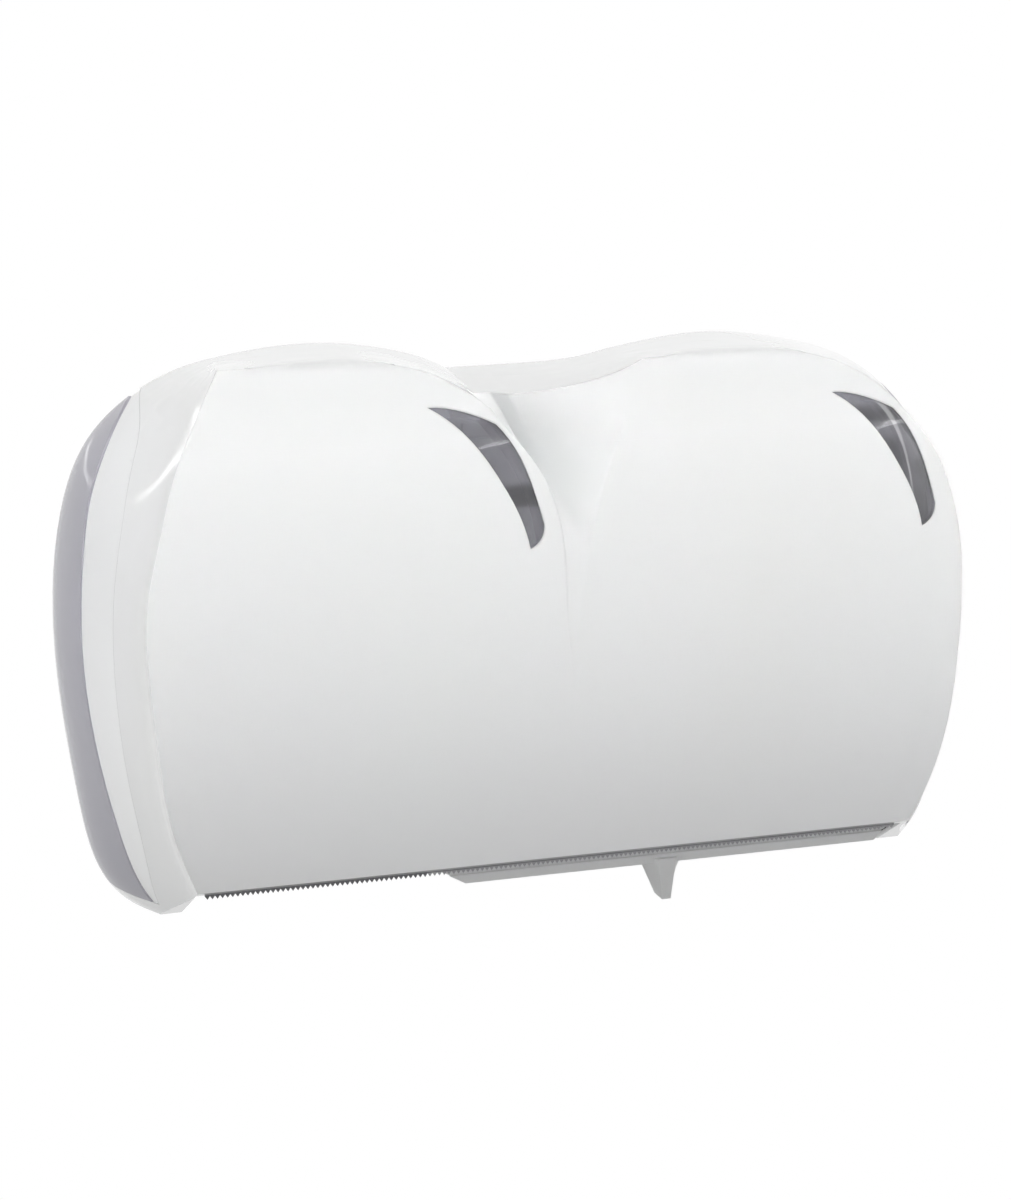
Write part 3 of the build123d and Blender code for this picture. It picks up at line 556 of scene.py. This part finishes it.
class Layout:
    """A Geometry Nodes tree built input by input, ending in real geometry with a material."""

    def __init__(self, name, inputs):
        self.tree = bpy.data.node_groups.new(name, "GeometryNodeTree")
        face = self.tree.interface
        face.new_socket("Geometry", in_out="OUTPUT", socket_type="NodeSocketGeometry")
        face.new_socket("Geometry", in_out="INPUT", socket_type="NodeSocketGeometry")
        self.sockets = {key: face.new_socket(key, in_out="INPUT", socket_type=kind).identifier
                        for key, kind in inputs.items()}
        self.start = self.tree.nodes.new("NodeGroupInput")

    def given(self, name):
        return self.start.outputs[name]

    def node(self, kind, settings=None, inputs=None, output=0):
        return add_node(self.tree, kind, settings, inputs).outputs[output]

    def close(self, instances):
        real = self.node("GeometryNodeRealizeInstances", inputs={"Geometry": instances})
        coated = self.node("GeometryNodeSetMaterial", inputs={
            "Geometry": real, "Material": self.given("Material")})
        add_node(self.tree, "NodeGroupOutput", inputs={"Geometry": coated})

    def grow(self, piece, **values):
        """Runs the tree on the piece and keeps the result as its mesh."""
        modifier = piece.modifiers.new(self.tree.name, "NODES")
        modifier.node_group = self.tree
        for key, value in values.items():
            modifier[self.sockets[key.replace("_", " ")]] = value
        return finished_mesh(piece)


def row_layout():
    """Copies of the piece along a straight row."""
    row = Layout("row of copies", {"Count": "NodeSocketInt", "Start": "NodeSocketVector",
                                   "Step": "NodeSocketVector", "Material": "NodeSocketMaterial"})
    line = row.node("GeometryNodeMeshLine", {"mode": "OFFSET"}, {
        "Count": row.given("Count"), "Start Location": row.given("Start"), "Offset": row.given("Step")})
    row.close(row.node("GeometryNodeInstanceOnPoints", inputs={
        "Points": line, "Instance": row.given("Geometry")}))
    return row


def ring_layout():
    """Copies of the piece round the spindle of one drum, each turned to face outward."""
    ring = Layout("ring of copies", {"Count": "NodeSocketInt", "Radius": "NodeSocketFloat",
                                     "Centre": "NodeSocketVector", "Material": "NodeSocketMaterial"})
    index = ring.node("GeometryNodeInputIndex")
    share = ring.node("ShaderNodeMath", {"operation": "DIVIDE"}, {0: index, 1: ring.given("Count")})
    angle = ring.node("ShaderNodeMath", {"operation": "MULTIPLY"}, {0: share, 1: math.tau})
    across = ring.node("ShaderNodeMath", {"operation": "COSINE"}, {0: angle})
    up = ring.node("ShaderNodeMath", {"operation": "SINE"}, {0: angle})
    spot = ring.node("ShaderNodeCombineXYZ", inputs={"X": across, "Z": up})
    reach = ring.node("ShaderNodeVectorMath", {"operation": "SCALE"}, {
        0: spot, "Scale": ring.given("Radius")})
    centred = ring.node("ShaderNodeVectorMath", {"operation": "ADD"}, {0: reach, 1: ring.given("Centre")})
    points = ring.node("GeometryNodePoints", inputs={"Count": ring.given("Count"), "Position": centred})
    back = ring.node("ShaderNodeMath", {"operation": "MULTIPLY"}, {0: angle, 1: -1.0})
    turn = ring.node("ShaderNodeCombineXYZ", inputs={"Y": back})
    ring.close(ring.node("GeometryNodeInstanceOnPoints", inputs={
        "Points": points, "Instance": ring.given("Geometry"), "Rotation": turn}))
    return ring


# Reshaping of the skin


def smooth_step(value, low, high):
    """Zero below low, one above high, smooth between."""
    share = min(max((value - low) / (high - low), 0.0), 1.0)
    return share * share * (3.0 - 2.0 * share)


def is_outside(tree, vert):
    """True where a ray from the vertex gets out to the front, which it does on the outer face only."""
    start = vert.co + vert.normal * RAY_LIFT
    return any(tree.ray_cast(start, way)[0] is None for way in FRONT_WAYS)


def close_slot(work):
    """Delete the walls of the key slot and draw its rim together at the middle of the crown."""
    rim = [vert for vert in work.verts
           if abs(vert.co.x) < SLOT_HALF_WIDTH and abs(vert.co.y + SLOT_MIDDLE_DEPTH) < SLOT_HALF_LENGTH
           and vert.co.z > SLOT_LOWEST]
    walls = [face for face in work.faces if all(vert in rim for vert in face.verts)]
    bmesh.ops.delete(work, geom=walls, context="FACES")
    for vert in rim:
        vert.co.z -= CROWN_SLOPE * vert.co.x
        vert.co.x = 0.0
    bmesh.ops.remove_doubles(work, verts=rim, dist=SLOT_WELD)
    work.normal_update()


def ease_groove(work):
    """Make the foot of the groove shallow on the outer face, as light falls into it."""
    tree = BVHTree.FromBMesh(work)
    for vert in work.verts:
        x, y, z = vert.co
        front = FRONT_CURVE * (z - FRONT_MIDDLE) ** 2 - FRONT_DEPTH
        aside = max(GROOVE_SIDES[0] - x, x - GROOVE_SIDES[1], 0.0)
        reach = (1.0 - smooth_step(aside, 0.0, GROOVE_FADE)) * smooth_step(z, *GROOVE_TIP)
        kept = FOOT_DEPTH + (1.0 - FOOT_DEPTH) * smooth_step(z, *POCKET_RISE)
        drawn = reach * (1.0 - kept)
        if front < y < -GROOVE_BACK and drawn > 0 and is_outside(tree, vert):
            vert.co.y = front + (y - front) * (1.0 - drawn)


def ease_skin(work):
    close_slot(work)
    ease_groove(work)


def leaf_depth(height):
    """Depth of the leaf's front edge at a height."""
    for (low, near), (high, far) in zip(LEAF_EDGE, LEAF_EDGE[1:]):
        if low <= height <= high:
            return near + (far - near) * (height - low) / (high - low)
    return 0.0


def divide_skin(piece):
    """Give the crown edge and the notch softer edges, and the flat leaf of each flank a plainer gloss."""
    piece.data.materials.append(FINISHES["arris"])
    piece.data.materials.append(FINISHES["leaf"])
    for face in piece.data.polygons:
        x, y, z = face.center
        in_notch = z > NOTCH_TIP and NOTCH_SIDES[0] < x < NOTCH_SIDES[1]
        if y < -SOFT_DEPTH and (z > CROWN_HEIGHT or in_notch):
            face.material_index = 1
        if abs(x) > LEAF_DISTANCE and -y < leaf_depth(z):
            face.material_index = 2


# Strip and screws


def weld_strip(piece):
    """Join the repeats into one closed strip."""
    work = bmesh.new()
    work.from_mesh(piece.data)
    bmesh.ops.remove_doubles(work, verts=work.verts, dist=STRIP_WELD)
    open_edges = [edge for edge in work.edges if edge.is_boundary]
    bmesh.ops.holes_fill(work, edges=open_edges, sides=0)
    bmesh.ops.recalc_face_normals(work, faces=work.faces)
    work.to_mesh(piece.data)
    work.free()


def neighbours(loop):
    """Each vertex of a closed loop with the one after it."""
    return list(zip(loop, loop[1:] + loop[:1]))


def cross_head_screw(radius, height, shank, length):
    """Pan head screw along -Y with a cross recess, its seat at the origin."""
    mesh = bpy.data.meshes.new("screw")
    work = bmesh.new()
    arm, reach, depth, taper = radius * 0.16, radius * 0.55, height * 0.5, 0.6
    turns = [math.tau * k / SCREW_STEPS for k in range(SCREW_STEPS)]
    profile = [(shank, length), (shank, 0.0), (radius, 0.0), (radius, -height * 0.45),
               (radius * 0.93, -height * 0.78), (radius * 0.78, -height)]
    rings = [[work.verts.new((size * math.cos(turn), back, size * math.sin(turn))) for turn in turns]
             for size, back in profile]
    for first, second in zip(rings, rings[1:]):
        for (a, b), (c, d) in zip(neighbours(first), neighbours(second)):
            work.faces.new((a, b, d, c))
    work.faces.new(rings[0])
    cross = [(arm, arm), (arm, reach), (-arm, reach), (-arm, arm), (-reach, arm), (-reach, -arm),
             (-arm, -arm), (-arm, -reach), (arm, -reach), (arm, -arm), (reach, -arm), (reach, arm)]
    rim = [work.verts.new((x, -height, z)) for x, z in cross]
    floor = [work.verts.new((x * taper, -height + depth, z * taper)) for x, z in cross]
    for (a, b), (c, d) in zip(neighbours(rim), neighbours(floor)):
        work.faces.new((a, b, d, c))
    work.faces.new(floor)
    face_edges = [work.edges.get(pair) for pair in neighbours(rim) + neighbours(rings[-1])]
    bmesh.ops.triangle_fill(work, edges=face_edges, use_beauty=True)
    bmesh.ops.recalc_face_normals(work, faces=work.faces)
    work.to_mesh(mesh)
    work.free()
    return mesh


# Studio


def make_floor():
    """Grey floor for the light that reaches the object, white where it is seen."""
    mesh = bpy.data.meshes.new("floor")
    work = bmesh.new()
    bmesh.ops.create_grid(work, x_segments=2, y_segments=2, size=FLOOR_SIZE)
    work.to_mesh(mesh)
    work.free()
    floor = new_piece("floor", mesh)
    floor.location.z = FLOOR_HEIGHT
    finish = Finish("pale floor")
    plain = finish.node("ShaderNodeBsdfDiffuse", inputs={"Color": FLOOR_GREY})
    white = finish.node("ShaderNodeEmission", inputs={"Color": WHITE, "Strength": 1.0})
    finish.close(finish.node("ShaderNodeMixShader", inputs={0: finish.seen_directly(), 1: plain, 2: white}))
    paint(floor, finish.material)


def make_sky(strength):
    """Even light of a given strength, white where it is seen."""
    world = bpy.data.worlds.new("sky")
    world.use_nodes = True
    sky = Shading(world.node_tree)
    even = sky.node("ShaderNodeBackground", inputs={"Color": WHITE, "Strength": strength})
    white = sky.node("ShaderNodeBackground", inputs={"Color": WHITE, "Strength": 1.0})
    mix = sky.node("ShaderNodeMixShader", inputs={0: sky.seen_directly(), 1: even, 2: white})
    sky.close(mix, "ShaderNodeOutputWorld")
    bpy.context.scene.world = world


def aim(piece, place, target):
    """Set a lamp or camera at a place, turned toward the target."""
    piece.location = place
    piece.rotation_euler = (Vector(target) - Vector(place)).to_track_quat("-Z", "Y").to_euler()


def softbox(name, place, target, size, power):
    """Rectangular area lamp turned toward the target."""
    light = bpy.data.lights.new(name, "AREA")
    light.shape = "RECTANGLE"
    light.size, light.size_y = size
    light.energy = power
    lamp = bpy.data.objects.new(name, light)
    bpy.context.scene.collection.objects.link(lamp)
    aim(lamp, place, target)
    return lamp


# Operators, one for each piece or group


class DISPENSER_OT_finishes(bpy.types.Operator):
    """Make the plastics and metals"""

    bl_idname = "dispenser.finishes"
    bl_label = "Finishes"

    def execute(self, context):
        FINISHES.update(make_finishes())
        return {"FINISHED"}


class DISPENSER_OT_cover(bpy.types.Operator):
    """Dress the white skin and the smoked lining"""

    bl_idname = "dispenser.cover"
    bl_label = "Cover"

    def execute(self, context):
        divide_skin(dressed_copy("cover_skin", "white_cover", "skin", "cover", "white_gloss",
                                 reshape=ease_skin))
        dressed_copy("cover_shell", "smoked_lining", "smoke", "cover", "smoked_clear")
        return {"FINISHED"}


class DISPENSER_OT_strip(bpy.types.Operator):
    """Build the serrated strip from its blade and a row of teeth"""

    bl_idname = "dispenser.strip"
    bl_label = "Serrated strip"

    def execute(self, context):
        strip = context.scene.dispenser_strip
        low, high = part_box("tear_edge")
        root = low.z + strip.tooth_height
        mesh = bpy.data.meshes.new("serrated_strip")
        work = bmesh.new()
        half = strip.tooth_pitch / 2
        outline = [(-half, high.z), (half, high.z), (half, root), (0.0, low.z), (-half, root)]
        rings = [[work.verts.new((x, y, z)) for x, z in outline] for y in (low.y, high.y)]
        work.faces.new(rings[0])
        work.faces.new(rings[1][::-1])
        for index in (0, 2, 3):
            after = (index + 1) % len(outline)
            work.faces.new((rings[0][after], rings[0][index], rings[1][index], rings[1][after]))
        work.to_mesh(mesh)
        work.free()
        piece = new_piece("serrated_strip", mesh)
        count = round((high.x - low.x) / strip.tooth_pitch)
        row_layout().grow(piece, Count=count, Start=(low.x + half, 0.0, 0.0),
                          Step=(strip.tooth_pitch, 0.0, 0.0), Material=FINISHES["strip"])
        weld_strip(piece)
        hand_over(piece, "cover", "smoked_dark", "tear_edge")
        return {"FINISHED"}


class DISPENSER_OT_slider(bpy.types.Operator):
    """Dress the sliding bar with its shoes and rail"""

    bl_idname = "dispenser.slider"
    bl_label = "Sliding bar"

    def execute(self, context):
        cover = context.scene.dispenser_cover
        dressed_copy("selector_bar", "finger_bar", "bar", "slider", "light_grey", cover.edge_round)
        paint_nodes("dark", "glide_shoes")
        paint_nodes("acetal", "slider_rail")
        return {"FINISHED"}


class DISPENSER_OT_holders(bpy.types.Operator):
    """Dress the core holders, their posts, caps and brakes"""

    bl_idname = "dispenser.holders"
    bl_label = "Core holders"

    def execute(self, context):
        edge = context.scene.dispenser_cover.edge_round * HOLDER_EDGE_SHARE
        for side in SIDES:
            dressed_copy("core_hub_" + side, "core_holder_" + side, "plate", "hub_" + side, "white_plate",
                         edge)
            paint_nodes("plate", "spindle_post_" + side)
            paint_nodes("acetal", "end_cap_" + side)
            paint_nodes("spring", "brake_spring_" + side)
        return {"FINISHED"}


class DISPENSER_OT_plate(bpy.types.Operator):
    """Dress the wall plate and the hinge pins"""

    bl_idname = "dispenser.plate"
    bl_label = "Wall plate"

    def execute(self, context):
        dressed_copy("wall_plate", "back_plate", "plate", "chassis", "white_plate")
        paint_nodes("zinc", *("hinge_pin_" + side for side in SIDES))
        return {"FINISHED"}


class DISPENSER_OT_lock(bpy.types.Operator):
    """Dress the lock and its keeper"""

    bl_idname = "dispenser.lock"
    bl_label = "Lock"

    def execute(self, context):
        paint_nodes("dark", "lock_barrel", "lock_plug")
        paint_nodes("zinc", "lock_cam", "cam_screw", "barrel_screws", "lock_keeper", "keeper_screws")
        return {"FINISHED"}


class DISPENSER_OT_screws(bpy.types.Operator):
    """Set the post screws in rings of three with their cross recesses"""

    bl_idname = "dispenser.screws"
    bl_label = "Post screws"

    def execute(self, context):
        low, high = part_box("post_screws")
        seat = low.y + SCREW_HEAD_HEIGHT
        ring = ring_layout()
        halves = []
        for side in (-1, 1):
            mesh = cross_head_screw(SCREW_HEAD_RADIUS, SCREW_HEAD_HEIGHT, SCREW_SHANK_RADIUS, high.y - seat)
            piece = new_piece("screw ring", mesh)
            ring.grow(piece, Count=SCREWS_PER_POST, Radius=SCREW_RING_RADIUS,
                      Centre=(side * DRUM_SPACING / 2, seat, SPINDLE_HEIGHT), Material=FINISHES["zinc"])
            halves.append(piece)
        keep = halves[0]
        work = bmesh.new()
        for piece in halves:
            work.from_mesh(piece.data)
        work.to_mesh(keep.data)
        work.free()
        bpy.data.objects.remove(halves[1])
        keep.name = "post_screw_set"
        hand_over(keep, "chassis", "steel", "post_screws")
        return {"FINISHED"}


class DISPENSER_OT_studio(bpy.types.Operator):
    """Set the floor, sky, lamps and camera"""

    bl_idname = "dispenser.studio"
    bl_label = "Studio"

    def execute(self, context):
        studio = context.scene.dispenser_studio
        make_floor()
        make_sky(studio.sky_strength)
        for name, place, target, size, power, share, spread in LAMPS:
            lamp = softbox(name, place, target, size, getattr(studio, power) * share)
            lamp.data.spread = math.radians(spread)
            lamp.visible_glossy = name not in UNSEEN_IN_GLOSS
        lens = bpy.data.cameras.new("camera")
        lens.lens = studio.lens
        lens.sensor_width = SENSOR_WIDTH
        camera = bpy.data.objects.new("camera", lens)
        context.scene.collection.objects.link(camera)
        aim(camera, CAMERA_PLACE, CAMERA_TARGET)
        context.scene.camera = camera
        context.scene.view_settings.view_transform = "Standard"
        return {"FINISHED"}


STEPS = (DISPENSER_OT_finishes, DISPENSER_OT_cover, DISPENSER_OT_strip, DISPENSER_OT_slider,
         DISPENSER_OT_holders, DISPENSER_OT_plate, DISPENSER_OT_lock, DISPENSER_OT_screws,
         DISPENSER_OT_studio)


class DISPENSER_PT_panel(bpy.types.Panel):
    """Steps that dress the dispenser"""

    bl_idname = "DISPENSER_PT_panel"
    bl_label = "Double roll dispenser"
    bl_space_type = "VIEW_3D"
    bl_region_type = "UI"
    bl_category = "Dispenser"

    def draw(self, context):
        for step in STEPS:
            self.layout.operator(step.bl_idname)


SETTINGS = {"dispenser_cover": CoverSettings, "dispenser_strip": StripSettings,
            "dispenser_inside": InsideSettings, "dispenser_studio": StudioSettings}


def register():
    for group in SETTINGS.values():
        bpy.utils.register_class(group)
    for name, group in SETTINGS.items():
        setattr(bpy.types.Scene, name, PointerProperty(type=group))
    for step in STEPS:
        bpy.utils.register_class(step)
    bpy.utils.register_class(DISPENSER_PT_panel)


def unregister():
    bpy.utils.unregister_class(DISPENSER_PT_panel)
    for step in reversed(STEPS):
        bpy.utils.unregister_class(step)
    for name, group in SETTINGS.items():
        delattr(bpy.types.Scene, name)
        bpy.utils.unregister_class(group)


def main():
    register()
    for step in STEPS:
        group, call = step.bl_idname.split(".")
        getattr(getattr(bpy.ops, group), call)()


if __name__ == "__main__":
    main()
